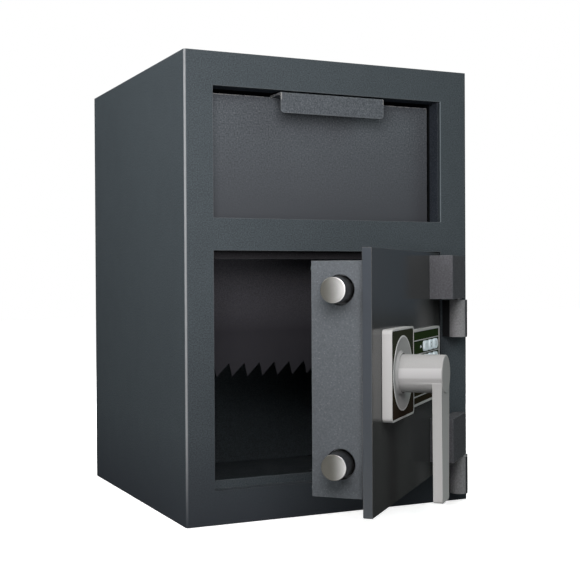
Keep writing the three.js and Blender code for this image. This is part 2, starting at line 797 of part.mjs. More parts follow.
place(door, 'bolt_box', boltBox(), hammerPaint);
place(door, 'bolt_box_cover', boxCover(), hammerPaint);
boxCorners(boxSheet + boxPost / 2).forEach(([x, z], index) => {
  place(door, `cover_screw_${index + 1}`, coverScrew(x, z), zincSteel);
});

// Locking bolts and the blocks that guide them
function lockingBolt(z) {
  const tip = boxFreeX - boltProud;
  const end = carriageFreeX - seatGap;
  return turned([
    [0, tip],
    [boltRadius - boltBevel, tip],
    [boltRadius, tip + boltBevel],
    [boltRadius, end],
    [0, end],
  ], 'x', behindFace(boltDepth), z);
}

function boltGuide(z) {
  const half = boltRadius + guideWall;
  const near = boxFreeX + boxSheet + guideFromBoxSide;
  const body = block(near, near + guideLength, behindFace(doorThickness + seatGap),
    behindFace(boltDepth + half), z - half, Math.min(z + half, boxTopZ - boxSheet - seatGap));
  const bore = rod(boltRadius + guideClearance, 'x', near - cutOverrun, near + guideLength + cutOverrun,
    behindFace(boltDepth), z);
  return cut(body, bore);
}

place(door, 'bolt_upper', lockingBolt(upperBoltZ), brightSteel);
place(door, 'bolt_lower', lockingBolt(lowerBoltZ), brightSteel);
place(door, 'bolt_guide_upper', boltGuide(upperBoltZ), zincSteel);
place(door, 'bolt_guide_lower', boltGuide(lowerBoltZ), zincSteel);

// Carriage: a bar between the bolts, slotted for the cam pin, with a notched tail for the latch
function carriageBar() {
  const front = behindFace(carriageFrontDepth);
  const back = front + carriageThickness;
  const bar = block(carriageFreeX, carriageFreeX + carriageWidth, front, back,
    lowerBoltZ - carriageEndRun, upperBoltZ + carriageEndRun);
  const tailLow = lockTopZ + tailAboveLock;
  const tailEnd = lockMiddleX + latchWidth / 2 + tailPastLatch;
  const tail = block(carriageFreeX, tailEnd, front, back, tailLow, tailLow + tailHeight);
  const notchHalf = latchWidth / 2 + slotClearance;
  const notch = block(lockMiddleX - notchHalf, lockMiddleX + notchHalf,
    front - cutOverrun, back + cutOverrun, tailLow - cutOverrun, tailLow + latchTravel + slotEndRun);
  const pinX = handleX - boltTravel / 2;
  const pinLow = handleZ + camPinReach * Math.cos(handleTurn / 2 * degree);
  const pinHigh = handleZ + camPinReach;
  const half = camPinRadius + slotClearance;
  const slotShape = roundedRectangle(pinX - half, pinX + half, pinLow - half - slotEndRun,
    pinHigh + half + slotEndRun, half);
  const slot = drawnOut(slotShape, 'y', front - cutOverrun, back + cutOverrun);
  return cut(join(bar, tail), notch, slot);
}

place(door, 'bolt_carriage', carriageBar(), zincSteel);

// Handle: hub and lever in one casting, on a spindle that turns the cam
function handleLever() {
  const outer = behindFace(-hubEndProud);
  const hub = turned([
    [0, outer],
    [hubRadius - hubBevel, outer],
    [hubRadius, outer + hubBevel],
    [hubRadius, behindFace(-hubBaseProud)],
    [0, behindFace(-hubBaseProud)],
  ], 'y', handleX, handleZ);
  const shape = new THREE.Shape();
  const low = handleZ - leverLength;
  shape.moveTo(handleX - leverTopHalfWidth, handleZ);
  shape.lineTo(handleX - leverBottomHalfWidth, low + leverCornerRadius);
  shape.quadraticCurveTo(handleX - leverBottomHalfWidth, low,
    handleX - leverBottomHalfWidth + leverCornerRadius, low);
  shape.lineTo(handleX + leverBottomHalfWidth - leverCornerRadius, low);
  shape.quadraticCurveTo(handleX + leverBottomHalfWidth, low,
    handleX + leverBottomHalfWidth, low + leverCornerRadius);
  shape.lineTo(handleX + leverTopHalfWidth, handleZ);
  const bar = drawnOut(shape, 'y', outer + leverSetBack, outer + leverThickness);
  const socket = rod(spindleRadius + seatGap, 'y', behindFace(-hubBaseProud - spindleIntoHub - seatGap),
    behindFace(cutOverrun), handleX, handleZ, smallSegments);
  return cut(join(hub, bar), socket);
}

function handleSpindle() {
  return rod(spindleRadius, 'y', behindFace(-hubBaseProud - spindleIntoHub),
    behindFace(camDepth + camThickness), handleX, handleZ, smallSegments);
}

function boltCam() {
  const front = behindFace(camDepth);
  const back = front + camThickness;
  const disc = rod(camRadius, 'y', front, back, handleX, handleZ, roundSegments / 2);
  const pinX = handleX - camPinReach * Math.sin(handleTurn / 2 * degree);
  const pinZ = handleZ + camPinReach * Math.cos(handleTurn / 2 * degree);
  const pinRoot = back - camThickness / 2;
  const pin = rod(camPinRadius, 'y', pinRoot, back + camPinLength, pinX, pinZ, smallSegments);
  const bore = rod(spindleRadius + seatGap, 'y', front - cutOverrun, back + cutOverrun,
    handleX, handleZ, smallSegments);
  return join(cut(disc, bore), pin);
}

function camClip() {
  const start = behindFace(doorThickness + seatGap);
  const ring = rod(camClipRadius, 'y', start, start + camClipThickness, handleX, handleZ, smallSegments);
  const bore = rod(spindleRadius + seatGap, 'y', start - cutOverrun, start + camClipThickness + cutOverrun,
    handleX, handleZ, smallSegments);
  return cut(ring, bore);
}

place(door, 'handle_lever', handleLever(), satinCasting);
place(door, 'handle_spindle', handleSpindle(), zincSteel);
place(door, 'bolt_cam', boltCam(), zincSteel);
place(door, 'spindle_clip', camClip(), zincSteel);

// Escutcheon: a bezel with a dark inlay and a dished rose round the hub
function escutcheonEdges(inset) {
  const halfX = escutcheonWidth / 2 - inset;
  const halfZ = escutcheonHeight / 2 - inset;
  return [handleX - halfX, handleX + halfX, handleZ - halfZ, handleZ + halfZ];
}

function escutcheonBezel() {
  const outer = behindFace(-escutcheonThickness);
  const floor = outer + escutcheonInlay;
  const shape = roundedRectangle(...escutcheonEdges(0), escutcheonCornerRadius);
  const body = drawnOut(shape, 'y', outer, behindFace(-seatGap));
  const inner = roundedRectangle(...escutcheonEdges(escutcheonBorder),
    escutcheonCornerRadius - escutcheonBorder);
  const pocket = drawnOut(inner, 'y', outer - cutOverrun, floor);
  const seat = rod(roseRadius + seatGap / 2, 'y', outer - cutOverrun, outer + roseSink, handleX, handleZ);
  const bore = rod(spindleRadius + spindleClearance, 'y', outer - cutOverrun, behindFace(cutOverrun),
    handleX, handleZ, smallSegments);
  return cut(body, pocket, seat, bore);
}

function escutcheonInlayPlate() {
  const outer = behindFace(-escutcheonThickness);
  const inset = escutcheonBorder + seatGap / 2;
  const shape = roundedRectangle(...escutcheonEdges(inset), escutcheonCornerRadius - inset);
  const plate = drawnOut(shape, 'y', outer + seatGap, outer + escutcheonInlay - weldGap);
  const hole = rod(roseRadius + seatGap / 2, 'y', outer - cutOverrun, outer + cutOverrun, handleX, handleZ);
  return cut(plate, hole);
}

function handleRose() {
  const outer = behindFace(-escutcheonThickness);
  const bore = hubRadius + hubClearance;
  return turned([
    [bore, outer + roseSink - weldGap],
    [bore, outer],
    [bore + roseCollarTop, outer],
    [bore + roseCollar, outer + roseDish],
    [roseRadius - roseRim, outer],
    [roseRadius, outer],
    [roseRadius, outer + roseSink - weldGap],
    [bore, outer + roseSink - weldGap],
  ], 'y', handleX, handleZ);
}

place(door, 'escutcheon', escutcheonBezel(), bezelPlastic);
place(door, 'escutcheon_inlay', escutcheonInlayPlate(), darkFace);
place(door, 'handle_rose', handleRose(), satinCasting);

// Keypad: a dark panel under a frame with six windows, and twelve sprung keys
const keyRowTop = keypadTopZ - headerHeight;
const frameBack = behindFace(-keypadThickness + keypadFrame);
const panelFace = frameBack + weldGap;

function keyCentre(row, column) {
  const x = keypadRightX - keyFirstInset - keyWidth / 2 - (keyColumns - 1 - column) * (keyWidth + keyGap);
  const z = keyRowTop - keyRowHeight * (row + 1 / 2);
  return [x, z];
}

function keypadPanel() {
  const inset = keypadBorder / 2;
  const shape = roundedRectangle(keypadLeftX + inset, keypadRightX - inset, keypadBottomZ + inset,
    keypadTopZ - inset, keypadCornerRadius - inset);
  const plate = drawnOut(shape, 'y', panelFace, behindFace(-seatGap));
  const pockets = [];
  for (let row = 0; row < keyRows; row += 1) {
    for (let column = 0; column < keyColumns; column += 1) {
      const [x, z] = keyCentre(row, column);
      const halfX = keyWidth / 2 + keyClearance;
      const halfZ = keyHeight / 2 + keyClearance;
      const hole = roundedRectangle(x - halfX, x + halfX, z - halfZ, z + halfZ,
        keyCornerRadius + keyClearance);
      pockets.push(drawnOut(hole, 'y', panelFace - cutOverrun,
        keyBackY() + keyTravel + keyClearance, pocketSegments));
    }
  }
  const [ledX, ledZ] = ledCentre();
  pockets.push(rod(ledRadius + seatGap, 'y', panelFace - cutOverrun, panelFace + ledHeight + seatGap,
    ledX, ledZ, smallSegments / 2));
  return cut(plate, ...pockets);
}

function keyBackY() {
  return behindFace(-seatGap - keyTravel - keyClearance * 2);
}

function ledCentre() {
  const [x, z] = keyCentre(0, 0);
  return [x - keyWidth / 2 - ledFromKeys, z];
}

function keypadFrameBody() {
  const outer = behindFace(-keypadThickness);
  const shape = roundedRectangle(keypadLeftX, keypadRightX, keypadBottomZ, keypadTopZ, keypadCornerRadius);
  const body = drawnOut(shape, 'y', outer, behindFace(-seatGap));
  const wall = keypadBorder / 2 - seatGap;
  const under = roundedRectangle(keypadLeftX + wall, keypadRightX - wall, keypadBottomZ + wall,
    keypadTopZ - wall, keypadCornerRadius - wall);
  const cavity = drawnOut(under, 'y', frameBack, behindFace(cutOverrun));
  const windows = [];
  const edges = [keypadTopZ - keypadBorder];
  for (let row = 0; row <= keyRows; row += 1) {
    const line = keyRowTop - keyRowHeight * row;
    edges.push(line + keypadDivider / 2, line - keypadDivider / 2);
  }
  edges.push(keypadBottomZ + keypadBorder);
  for (let i = 0; i < edges.length; i += 2) {
    windows.push(block(keypadLeftX + keypadBorder, keypadRightX - keypadBorder,
      outer - cutOverrun, frameBack + cutOverrun, edges[i + 1], edges[i]));
  }
  return cut(body, cavity, ...windows);
}

function keyCap(row, column) {
  const [x, z] = keyCentre(row, column);
  const front = panelFace - keyProud;
  const halfX = keyWidth / 2;
  const halfZ = keyHeight / 2;
  const shape = roundedRectangle(x - halfX, x + halfX, z - halfZ, z + halfZ, keyCornerRadius);
  const crown = roundedRectangle(x - halfX + keyBevel, x + halfX - keyBevel, z - halfZ + keyBevel,
    z + halfZ - keyBevel, keyCornerRadius - keyBevel);
  return join(drawnOut(shape, 'y', front + keyBevel / 2, keyBackY()),
    drawnOut(crown, 'y', front, front + keyBevel));
}

function ledLens() {
  const [x, z] = ledCentre();
  return turned([
    [0, panelFace - ledHeight],
    [ledRadius / 2, panelFace - ledHeight],
    [ledRadius, panelFace],
    [ledRadius, panelFace + ledHeight],
    [0, panelFace + ledHeight],
  ], 'y', x, z, smallSegments / 2);
}

place(door, 'keypad_panel', keypadPanel(), darkFace);
place(door, 'keypad_frame', keypadFrameBody(), bezelPlastic);
place(door, 'keypad_led', ledLens(), ledPlastic);
const keyNames = ['1', '2', '3', '4', '5', '6', '7', '8', '9', 'star', '0', 'hash'];
keyNames.forEach((label, index) => {
  const row = Math.floor(index / keyColumns);
  place(door, `key_${label}`, keyCap(row, index % keyColumns), keyPlastic);
});

// Lock case behind the keypad, with a latch that rises into the carriage's notch
function latchEdges(clearance) {
  return [
    lockMiddleX - latchWidth / 2 - clearance,
    lockMiddleX + latchWidth / 2 + clearance,
    behindFace(boltDepth) - latchThickness / 2 - clearance,
    behindFace(boltDepth) + latchThickness / 2 + clearance,
  ];
}

function lockCase() {
  const near = behindFace(doorThickness + seatGap);
  const body = block(lockLeftX, lockRightX, near, near + lockThickness, lockBottomZ, lockTopZ);
  const floor = lockTopZ + latchProud - latchLength - seatGap;
  const pocket = block(...latchEdges(latchClearance), floor, lockTopZ + cutOverrun);
  return cut(body, pocket);
}

function lockLatch() {
  const top = lockTopZ + latchProud;
  return block(...latchEdges(0), top - latchLength, top);
}

place(door, 'lock_case', lockCase(), lockCasting);
place(door, 'lock_latch', lockLatch(), brightSteel);

export default safe;
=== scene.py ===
import json
import math

import bpy
from mathutils import Matrix, Vector


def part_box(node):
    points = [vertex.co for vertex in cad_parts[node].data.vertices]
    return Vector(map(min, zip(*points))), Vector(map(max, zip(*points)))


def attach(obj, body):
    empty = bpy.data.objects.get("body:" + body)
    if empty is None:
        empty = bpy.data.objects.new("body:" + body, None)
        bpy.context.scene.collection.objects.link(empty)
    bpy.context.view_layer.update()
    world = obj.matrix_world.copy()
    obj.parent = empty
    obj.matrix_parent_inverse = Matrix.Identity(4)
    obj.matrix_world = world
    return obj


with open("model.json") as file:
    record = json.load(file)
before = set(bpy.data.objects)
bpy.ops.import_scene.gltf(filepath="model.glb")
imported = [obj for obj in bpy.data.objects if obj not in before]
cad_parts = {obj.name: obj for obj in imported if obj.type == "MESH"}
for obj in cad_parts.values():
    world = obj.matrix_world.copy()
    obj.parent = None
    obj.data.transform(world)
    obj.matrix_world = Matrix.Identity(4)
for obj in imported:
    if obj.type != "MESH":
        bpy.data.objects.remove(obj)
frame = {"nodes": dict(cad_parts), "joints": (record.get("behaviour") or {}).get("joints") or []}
nodes = frame["nodes"]
joints = {joint["name"]: joint for joint in frame["joints"]}
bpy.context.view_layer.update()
print("stage: frame loaded,", len(nodes), "nodes")


# Directions of the cabinet, and the door's own turned frame, taken from its joints

left = (-1.0, 0.0, 0.0)
right = (1.0, 0.0, 0.0)
front = (0.0, -1.0, 0.0)
back = (0.0, 1.0, 0.0)
down = (0.0, 0.0, -1.0)
up = (0.0, 0.0, 1.0)
hingePoint = Vector(joints["door_hinge"]["pos_m"])
handlePoint = Vector(joints["handle_turn"]["pos_m"])
outward = -Vector(joints["handle_turn"]["axis"]).normalized()
toFree = -Vector(joints["bolt_throw"]["axis"]).normalized()
toHinge = -toFree
doorTurn = math.atan2(toHinge.y, toHinge.x)


def centreOf(name):
    low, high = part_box(name)
    return (low + high) / 2.0


# Node tree helpers

def feed(tree, socket, value):
    if isinstance(value, (int, float)):
        socket.default_value = value
    elif isinstance(value, (tuple, list, Vector)):
        missing = len(socket.default_value) - len(value)  # a colour's alpha
        socket.default_value = tuple(value) + (1.0,) * missing
    else:
        tree.links.new(value, socket)


def addNode(tree, kind, inputs, **settings):
    node = tree.nodes.new("ShaderNode" + kind)
    for name, value in settings.items():
        setattr(node, name, value)
    for name, value in inputs.items():
        feed(tree, node.inputs[name], value)
    return node


def makeGroup(name, inputs, outputs):
    tree = bpy.data.node_groups.new(name, "ShaderNodeTree")
    for label, value in inputs.items():
        socket = tree.interface.new_socket(label, in_out="INPUT", socket_type="NodeSocketFloat")
        socket.default_value = value
    for label in outputs:
        tree.interface.new_socket(label, in_out="OUTPUT", socket_type="NodeSocketFloat")
    return tree, tree.nodes.new("NodeGroupInput"), tree.nodes.new("NodeGroupOutput")


def mathNode(tree, operation, *values, clamp=False):
    inputs = dict(enumerate(values))
    return addNode(tree, "Math", inputs, operation=operation, use_clamp=clamp).outputs[0]


def product(tree, first, *others):
    for value in others:
        first = mathNode(tree, "MULTIPLY", first, value)
    return first


def mapRange(tree, value, fromLow, fromHigh, toLow=0.0, toHigh=1.0):
    inputs = {"Value": value, "From Min": fromLow, "From Max": fromHigh, "To Min": toLow, "To Max": toHigh}
    return addNode(tree, "MapRange", inputs).outputs["Result"]


def mixColour(tree, factor, a, b, blend="MIX"):
    node = addNode(tree, "Mix", {"Factor": factor}, data_type="RGBA", blend_type=blend)
    first, second = [socket for socket in node.inputs if socket.type == "RGBA"]
    feed(tree, first, a)
    feed(tree, second, b)
    return [socket for socket in node.outputs if socket.type == "RGBA"][0]


def noiseValue(tree, vector, scale, detail, roughness):
    inputs = {"Vector": vector, "Scale": scale, "Detail": detail, "Roughness": roughness}
    return addNode(tree, "TexNoise", inputs).outputs["Fac"]


def vectorMath(tree, operation, *values):
    return addNode(tree, "VectorMath", dict(enumerate(values)), operation=operation)


def objectVector(tree):
    return addNode(tree, "TexCoord", {}).outputs["Object"]


def alongDirection(tree, vector, direction):
    return vectorMath(tree, "DOT_PRODUCT", vector, direction).outputs["Value"]


def reachFromAxis(tree, centre, axis):
    offset = vectorMath(tree, "SUBTRACT", objectVector(tree), centre).outputs["Vector"]
    across = vectorMath(tree, "CROSS_PRODUCT", offset, axis).outputs["Vector"]
    return vectorMath(tree, "LENGTH", across).outputs["Value"]


def withinRadius(tree, reach, radius, blend):
    return mapRange(tree, reach, radius - blend, radius + blend, 1.0, 0.0)


def facingShare(tree, direction, low, high):
    normal = addNode(tree, "TexCoord", {}).outputs["Normal"]
    return mapRange(tree, alongDirection(tree, normal, direction), low, high)


def placeShare(tree, direction, low, high):
    return mapRange(tree, alongDirection(tree, objectVector(tree), direction), low, high)


def turnedVector(tree, centre, turn):
    inputs = {"Vector": objectVector(tree), "Location": centre, "Rotation": (0.0, 0.0, turn)}
    return addNode(tree, "Mapping", inputs, vector_type="TEXTURE").outputs["Vector"]


# Shared effects, each made once as a node group
# A noise is given as scale, detail and roughness, and its kind as the last two

noiseSpan = (0.3, 0.7)  # nearly all of a noise's values lie in it

grainSettings = {
    "fineKind": (2.0, 0.5), "fineTone": (0.82, 1.2),
    "broad": (9.0, 4.0, 0.55), "streaks": (55.0, 5.0, 0.55), "broadTone": (0.98, 1.02),
    "speckSize": (0.34, 0.1), "speckSpots": (0.5, 0.66),
}


def makeGrainGroup():
    inputs = {"Grain Scale": 700.0, "Speck Amount": 0.5}
    tree, entry, leave = makeGroup("paintGrain", inputs, ("Tone", "Speck", "Height"))
    vector = objectVector(tree)
    scale = entry.outputs["Grain Scale"]
    fine = noiseValue(tree, vector, scale, *grainSettings["fineKind"])
    broad = noiseValue(tree, vector, *grainSettings["broad"])
    streaks = noiseValue(tree, vector, *grainSettings["streaks"])
    tone = product(tree, mapRange(tree, fine, *noiseSpan, *grainSettings["fineTone"]),
                   mapRange(tree, broad, *noiseSpan, *grainSettings["broadTone"]),
                   mapRange(tree, streaks, *noiseSpan, *grainSettings["broadTone"]))
    cells = addNode(tree, "TexVoronoi", {"Vector": vector, "Scale": scale}).outputs["Distance"]
    speck = product(tree, mapRange(tree, cells, *grainSettings["speckSize"]),
                    mapRange(tree, fine, *grainSettings["speckSpots"]))
    speck = mathNode(tree, "MULTIPLY", speck, entry.outputs["Speck Amount"], clamp=True)
    feed(tree, leave.inputs["Tone"], tone)
    feed(tree, leave.inputs["Speck"], speck)
    feed(tree, leave.inputs["Height"], fine)
    return tree


wearAndSheenSettings = {
    "samples": 6, "edgeSpan": (0.985, 0.8), "breakUp": (105.0, 6.0, 0.7), "patches": (22.0, 2.0, 0.55),
    "edgeSpots": (0.3, 0.6), "edgeTone": (0.4, 1.0), "chipSpots": (0.46, 0.54), "chipPatches": (0.36, 0.46),
}


# Edges lighter, partly worn paint and partly a painted sheen, and chips along them
def makeEdgeGroup():
    tree, entry, leave = makeGroup("edgeWearAndSheen", {"Radius": 0.0012, "Chips": 0.5}, ("Edge", "Chip"))
    soft = addNode(tree, "Bevel", {"Radius": entry.outputs["Radius"]}, samples=wearAndSheenSettings["samples"])
    flat = addNode(tree, "NewGeometry", {}).outputs["True Normal"]
    edge = mapRange(tree, alongDirection(tree, soft.outputs["Normal"], flat), *wearAndSheenSettings["edgeSpan"])
    vector = objectVector(tree)
    breakUp = noiseValue(tree, vector, *wearAndSheenSettings["breakUp"])
    patches = noiseValue(tree, vector, *wearAndSheenSettings["patches"])
    wearAndSheen = product(tree, edge, mapRange(tree, breakUp, *wearAndSheenSettings["edgeSpots"], *wearAndSheenSettings["edgeTone"]))
    chip = product(tree, edge, mapRange(tree, breakUp, *wearAndSheenSettings["chipSpots"]),
                   mapRange(tree, patches, *wearAndSheenSettings["chipPatches"]))
    chip = mathNode(tree, "MULTIPLY", chip, entry.outputs["Chips"], clamp=True)
    feed(tree, leave.inputs["Edge"], wearAndSheen)
    feed(tree, leave.inputs["Chip"], chip)
    return tree


dustSettings = {
    "slope": (0.2, 1.0), "slopeTone": (0.1, 1.0), "patches": (30.0, 5.0, 0.65), "patchSpan": (0.4, 0.7),
    "smudges": (17.0, 3.0, 0.6), "smudgeSpan": (0.35, 0.7),
}


def makeDustGroup():
    tree, entry, leave = makeGroup("dustAndSmudge", {"Dust Amount": 0.2}, ("Dust", "Smudge"))
    vector = objectVector(tree)
    normal = addNode(tree, "NewGeometry", {}).outputs["Normal"]
    level = alongDirection(tree, normal, up)
    level = mapRange(tree, level, *dustSettings["slope"], *dustSettings["slopeTone"])
    patches = mapRange(tree, noiseValue(tree, vector, *dustSettings["patches"]), *dustSettings["patchSpan"])
    dust = mathNode(tree, "MULTIPLY", product(tree, level, patches), entry.outputs["Dust Amount"], clamp=True)
    smudge = mapRange(tree, noiseValue(tree, vector, *dustSettings["smudges"]), *dustSettings["smudgeSpan"])
    feed(tree, leave.inputs["Dust"], dust)
    feed(tree, leave.inputs["Smudge"], smudge)
    return tree


grainGroup = makeGrainGroup()
edgeGroup = makeEdgeGroup()
dustGroup = makeDustGroup()
print("stage: shared effects made")


# What the materials share

toneReach = 0.3  # how far the grain's tone goes to either side of 1


def newMaterial(name):
    material = bpy.data.materials.new(name)
    material.use_nodes = True
    tree = material.node_tree
    return material, tree, tree.nodes["Principled BSDF"]


def useGroup(tree, group, inputs):
    return addNode(tree, "Group", inputs, node_tree=group)


def spreadTone(tree, grain, spread):
    return mapRange(tree, grain.outputs["Tone"], 1.0 - toneReach, 1.0 + toneReach, 1.0 - spread, 1.0 + spread)


def spreadRoughness(tree, value, low, high, look):
    less, more = look["roughnessSpread"]
    return mapRange(tree, value, low, high, look["roughness"] - less, look["roughness"] + more)


def setShader(tree, shader, values):
    for label, value in values.items():
        feed(tree, shader.inputs[label], value)


def bumpFrom(tree, height, look):
    inputs = {"Height": height, "Strength": look["bump"], "Distance": look["bumpDepth"]}
    return addNode(tree, "Bump", inputs).outputs["Normal"]


# A share is given as a direction, where it starts to rise and where it is full
def past(direction, place, blend):
    return direction, place - blend, place + blend


# Painted highlight on bends and edges whose faces look partly each way of a pair of directions
def bendHighlightMask(tree, look):
    normal = addNode(tree, "TexCoord", {}).outputs["Normal"]
    parts = []
    for direction in look["highlightFacings"]:
        toward = alongDirection(tree, normal, direction)
        parts.append(mathNode(tree, "ADD", toward, 0.0, clamp=True))  # 0 for faces that look away
    return mapRange(tree, product(tree, *parts), *look["highlightSpan"])


# A shade paints shade or a highlight; its share comes from a face's place and the way it looks
def shadeShare(tree, shade):
    shares = [placeShare(tree, *place) for place in shade.get("places", ())]
    if "facing" in shade:
        shares.append(facingShare(tree, *shade["facing"]))
    return product(tree, *shares)


# Enamel paints

def paintMaterial(name, look):
    material, tree, shader = newMaterial(name)
    grain = useGroup(tree, grainGroup, {"Grain Scale": look["grainScale"], "Speck Amount": look["speck"]})
    edge = useGroup(tree, edgeGroup, {"Radius": look["edgeRadius"], "Chips": look["chips"]})
    dust = useGroup(tree, dustGroup, {"Dust Amount": look["dust"]})
    tone = spreadTone(tree, grain, toneReach * look["grainShare"])
    colour = mixColour(tree, 1.0, look["colour"], tone, "MULTIPLY")
    colour = mixColour(tree, grain.outputs["Speck"], colour, look["speckColour"])
    # edges lighter: wear and a painted sheen
    wearAndSheen = product(tree, edge.outputs["Edge"], look["edgeShare"])
    colour = mixColour(tree, wearAndSheen, colour, look["edgeColour"])
    chip = product(tree, edge.outputs["Chip"], placeShare(tree, *look["chipPlace"]))
    colour = mixColour(tree, chip, colour, look["bareColour"])
    # painted highlight along the bends
    if look["highlightFacings"]:
        bendHighlight = product(tree, bendHighlightMask(tree, look), look["highlightShare"])
        colour = mixColour(tree, bendHighlight, colour, look["highlightColour"])
    # painted shade and painted highlights
    for shade in look["shades"]:
        colour = mixColour(tree, shadeShare(tree, shade), colour, shade["colour"])
    # painted shadow: a dark ring round each hole where a bolt leaves the box
    for centre in look["holes"]:
        reach = reachFromAxis(tree, centre, look["holeAxis"])
        holeShadow = withinRadius(tree, reach, look["holeRadius"], look["holeBlend"])
        colour = mixColour(tree, holeShadow, colour, look["holeShadowColour"])
    rough = mathNode(tree, "ADD", spreadRoughness(tree, dust.outputs["Smudge"], 0.0, 1.0, look),
                     product(tree, grain.outputs["Speck"], -look["speckGloss"]))
    setShader(tree, shader, {
        "Base Color": mixColour(tree, dust.outputs["Dust"], colour, look["dustColour"]),
        "Roughness": rough, "Metallic": look["metallic"], "Specular IOR Level": look["specular"],
        "Coat Weight": look["coat"], "Coat Roughness": look["coatRoughness"],
        "Normal": bumpFrom(tree, grain.outputs["Height"], look),
    })
    return material


squareOn = (0.9, 0.99)  # only faces that look straight in a direction

bodyLook = {
    "colour": (0.0535, 0.0645, 0.0715), "grainScale": 720.0, "grainShare": 1.4,
    "speck": 0.35, "speckColour": (0.12, 0.13, 0.14), "speckGloss": 0.12,
    "edgeRadius": 0.0012, "edgeShare": 0.55, "edgeColour": (0.2, 0.21, 0.22),
    "chips": 0.0, "chipPlace": past(up, 0.461, 0.001), "bareColour": (0.45, 0.44, 0.42),
    "highlightFacings": (), "highlightSpan": (0.2, 0.42), "highlightShare": 0.5, "highlightColour": (0.42, 0.43, 0.44),
    "shades": (),
    "holes": (), "holeAxis": toFree, "holeRadius": 0.0146, "holeBlend": 0.0004,
    "holeShadowColour": (0.006, 0.0065, 0.007),
    "dust": 0.06, "dustColour": (0.3, 0.3, 0.29),
    "roughness": 0.55, "roughnessSpread": (0.05, 0.07), "metallic": 0.0, "specular": 0.0,
    "coat": 0.03, "coatRoughness": 0.35, "bump": 0.22, "bumpDepth": 0.0003,
}
bodyPaint = paintMaterial("bodyPaint", bodyLook)

# Painted shade on the wrap, darker low down and on the right stile's cut edge
wrapPlaces = {
    "front": -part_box("body_wrap")[0][1], "sheet": 0.0048, "cutBlend": 0.0002, "rightFrom": (0.1, 0.11),
    "stileEdge": 0.141, "hopperLow": 0.33, "hopperHigh": 0.472,
    "lineDepth": 0.0005, "lineWidth": 0.0012, "lineBlend": 0.0001, "lineFade": 0.0002, "endFade": 0.0005,
}
wrapLook = dict(
    bodyLook, highlightFacings=(left, front),
    shades=(
        {"places": ((down, -0.1, 0.0),), "colour": (0.042, 0.0485, 0.0565)},
        {"facing": (left, *squareOn),
         "places": (past(front, wrapPlaces["front"] - wrapPlaces["sheet"], wrapPlaces["cutBlend"]),
                    (right, *wrapPlaces["rightFrom"])),
         "colour": (0.035, 0.042, 0.048)},
        # a painted highlight line along the hopper opening's right edge
        {"places": (past(front, wrapPlaces["front"] - wrapPlaces["lineDepth"], wrapPlaces["lineBlend"]),
                    past(right, wrapPlaces["stileEdge"] - wrapPlaces["lineBlend"], wrapPlaces["lineBlend"]),
                    past(left, -wrapPlaces["stileEdge"] - wrapPlaces["lineWidth"], wrapPlaces["lineFade"]),
                    past(up, wrapPlaces["hopperLow"], wrapPlaces["endFade"]),
                    past(down, -wrapPlaces["hopperHigh"], wrapPlaces["endFade"])),
         "colour": (0.14, 0.165, 0.18)},
    ))
wrapPaint = paintMaterial("wrapPaint", wrapLook)

# Painted shade on the guards: a dark paint, and black behind their front edges
guardPlaces = {"blackFrom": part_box("hopper_panel")[0][1] - 0.0032, "blend": 0.001}
guardLook = dict(
    bodyLook, colour=(0.03, 0.036, 0.045),
    shades=({"places": (past(back, guardPlaces["blackFrom"], guardPlaces["blend"]),),
             "colour": (0.006, 0.0065, 0.007)},))
guardPaint = paintMaterial("guardPaint", guardLook)

# The door is glossy; its free edge has painted shade that darkens downward, its hinge-side edge a painted
# highlight
doorLook = dict(
    bodyLook, colour=(0.0415, 0.0432, 0.0422), grainShare=0.8, speck=0.2, edgeShare=0.3,
    highlightFacings=(outward, toHinge), highlightShare=0.45, coat=0.7, coatRoughness=0.16,
    shades=(
        {"facing": (toFree, *squareOn), "colour": (0.0255, 0.0315, 0.0395)},
        {"facing": (toFree, *squareOn), "places": ((down, -0.16, -0.06),),
         "colour": (0.0175, 0.0235, 0.0305)},
    ))
doorPaint = paintMaterial("doorPaint", doorLook)

# Painted shade: the top stop is nearly black, for the shade under the opening's top edge
stopLook = dict(bodyLook, colour=(0.02, 0.0195, 0.0215))
stopPaint = paintMaterial("stopPaint", stopLook)

# Painted light on the baffle: lighter at the top, painted shade below
innerLook = dict(
    bodyLook, colour=(0.11, 0.108, 0.122), speck=0.12, roughness=0.62, edgeShare=0.2,
    shades=({"places": ((down, -0.265, -0.2),), "colour": (0.036, 0.0355, 0.041)},))
innerPaint = paintMaterial("innerPaint", innerLook)

hammerLook = dict(
    bodyLook, colour=(0.0795, 0.0885, 0.0965), speckColour=(0.2, 0.2, 0.21), speck=0.55, grainScale=560.0,
    roughness=0.46, bump=0.4, edgeShare=0.5, grainShare=0.7)
hammerPaint = paintMaterial("hammerPaint", hammerLook)

# Painted shade on the panel, darker toward the bottom
panelLook = dict(
    hammerLook, colour=(0.0775, 0.0865, 0.096), grainShare=1.8, chips=1.0, edgeRadius=0.0028, edgeShare=0.3,
    shades=({"places": ((down, -0.445, -0.335),), "colour": (0.06, 0.0645, 0.072)},))
panelPaint = paintMaterial("panelPaint", panelLook)

blockLook = dict(hammerLook, colour=(0.085, 0.0865, 0.094), grainShare=1.0, speck=0.3)
blockPaint = paintMaterial("blockPaint", blockLook)

# Painted light on the hinge feet: a light paint for the lit barrel, painted shade on the left face behind the
# barrel and on faces looking right
footPlaces = {"barrelBack": hingePoint.y + 0.004, "blend": 0.0005}
footLook = dict(
    hammerLook, colour=(0.23, 0.232, 0.238), grainShare=1.0,
    shades=(
        {"facing": (left, *squareOn), "places": (past(back, footPlaces["barrelBack"], footPlaces["blend"]),),
         "colour": (0.018, 0.0185, 0.02)},
        {"facing": (right, 0.2, 0.38), "colour": (0.034, 0.036, 0.04)},
    ))
footPaint = paintMaterial("footPaint", footLook)

